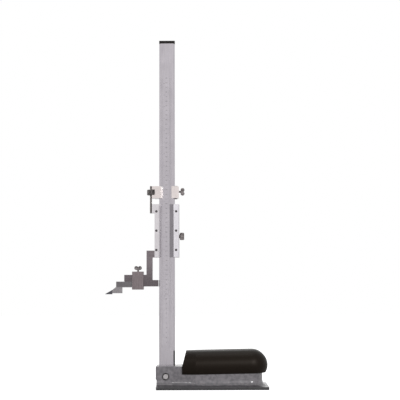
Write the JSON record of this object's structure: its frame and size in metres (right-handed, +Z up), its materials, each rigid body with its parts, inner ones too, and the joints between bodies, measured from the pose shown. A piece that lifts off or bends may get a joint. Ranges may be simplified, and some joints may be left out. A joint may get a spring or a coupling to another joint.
{
  "type": "height gauge",
  "caption": "Vernier height gauge: engraved upright beam on a heavy base with a hand grip, slider with fine adjustment and wing-screw locks, and a clamped carbide scriber.",
  "frame": {"origin": "on the underside of the base, straight below the axis of the beam", "axes": "+Z up along the beam, +X along the base towards the free end of the hand grip, the scale side faces -Y"},
  "size_m": [0.3386, 0.108, 0.736],
  "materials": {
    "base_enamel": "grey hammer-finish enamel on cast iron",
    "grip": "black grained cover, soft sheen",
    "cap_plastic": "black moulded plastic",
    "satin_chrome": "satin chrome with engraved graduations",
    "satin_chrome_light": "light satin chrome",
    "vernier_chrome": "dull satin chrome with engraved graduations",
    "dark_steel": "ground hardened steel, dark grey",
    "polished_steel": "polished screw head",
    "black_steel": "blackened steel",
    "wing_steel": "dull plated steel",
    "brass": "turned brass",
    "spring_bronze": "rolled phosphor bronze strip",
    "carbide": "ground tungsten carbide"
  },
  "bodies": {
    "base": {"base_casting": "base_enamel", "grip_cover": "grip", "grip_cover_screws": "black_steel", "beam": "satin_chrome", "beam_end_cap": "cap_plastic", "beam_clamp_screw": "polished_steel", "beam_clamp_pad": "brass", "beam_foot_screws": "black_steel"},
    "slider": {"slider_body": "dark_steel", "slider_left_strip": "satin_chrome_light", "slider_right_strip": "satin_chrome_light", "vernier_plate": "vernier_chrome", "left_strip_screws": "black_steel", "right_strip_screws": "black_steel", "slider_gib": "spring_bronze", "slider_gib_screws": "black_steel", "fine_adjust_screw": "black_steel", "fine_adjust_pin": "black_steel"},
    "slider_lock": {"slider_lock_screw": "wing_steel"},
    "carriage": {"carriage_body": "satin_chrome_light", "carriage_shoe": "black_steel"},
    "carriage_lock": {"carriage_lock_screw": "wing_steel"},
    "nut": {"fine_adjust_nut": "black_steel"},
    "clamp": {"clamp_box": "dark_steel"},
    "clamp_screw": {"scriber_clamp_screw": "wing_steel"},
    "scriber": {"scriber": "dark_steel", "scriber_tip": "carbide"}
  },
  "joints": [
    {"name": "slider_travel", "type": "slide", "parent": "base", "child": "slider", "axis": [0, 0, 1], "range_m": [-0.154, 0.306]},
    {"name": "slider_lock_turn", "type": "hinge", "parent": "slider", "child": "slider_lock", "pos_m": [0.0212, 0, 0.3151], "axis": [1, 0, 0], "range_deg": [0, 360]},
    {"name": "carriage_travel", "type": "slide", "parent": "slider", "child": "carriage", "axis": [0, 0, 1], "range_m": [-0.0105, 0.0015]},
    {"name": "carriage_lock_turn", "type": "hinge", "parent": "carriage", "child": "carriage_lock", "pos_m": [0.0212, 0, 0.4098], "axis": [1, 0, 0], "range_deg": [0, 360]},
    {"name": "nut_turn", "type": "hinge", "parent": "carriage", "child": "nut", "pos_m": [-0.034, -0.003, 0.408], "axis": [0, 0, 1], "range_deg": [-4760, 700]},
    {"name": "clamp_slide", "type": "slide", "parent": "slider", "child": "clamp", "axis": [1, 0, 0], "range_m": [-0.014, 0.0045]},
    {"name": "clamp_screw_turn", "type": "hinge", "parent": "clamp", "child": "clamp_screw", "pos_m": [-0.06105, 0, 0.2412], "axis": [0, 0, 1], "range_deg": [0, 360]},
    {"name": "scriber_slide", "type": "slide", "parent": "slider", "child": "scriber", "axis": [1, 0, 0], "range_m": [-0.012, 0.0015]}
  ],
  "couplings": [
    {"joint": "nut_turn", "follows": "carriage_travel", "rad_per_m": 7854}
  ]
}
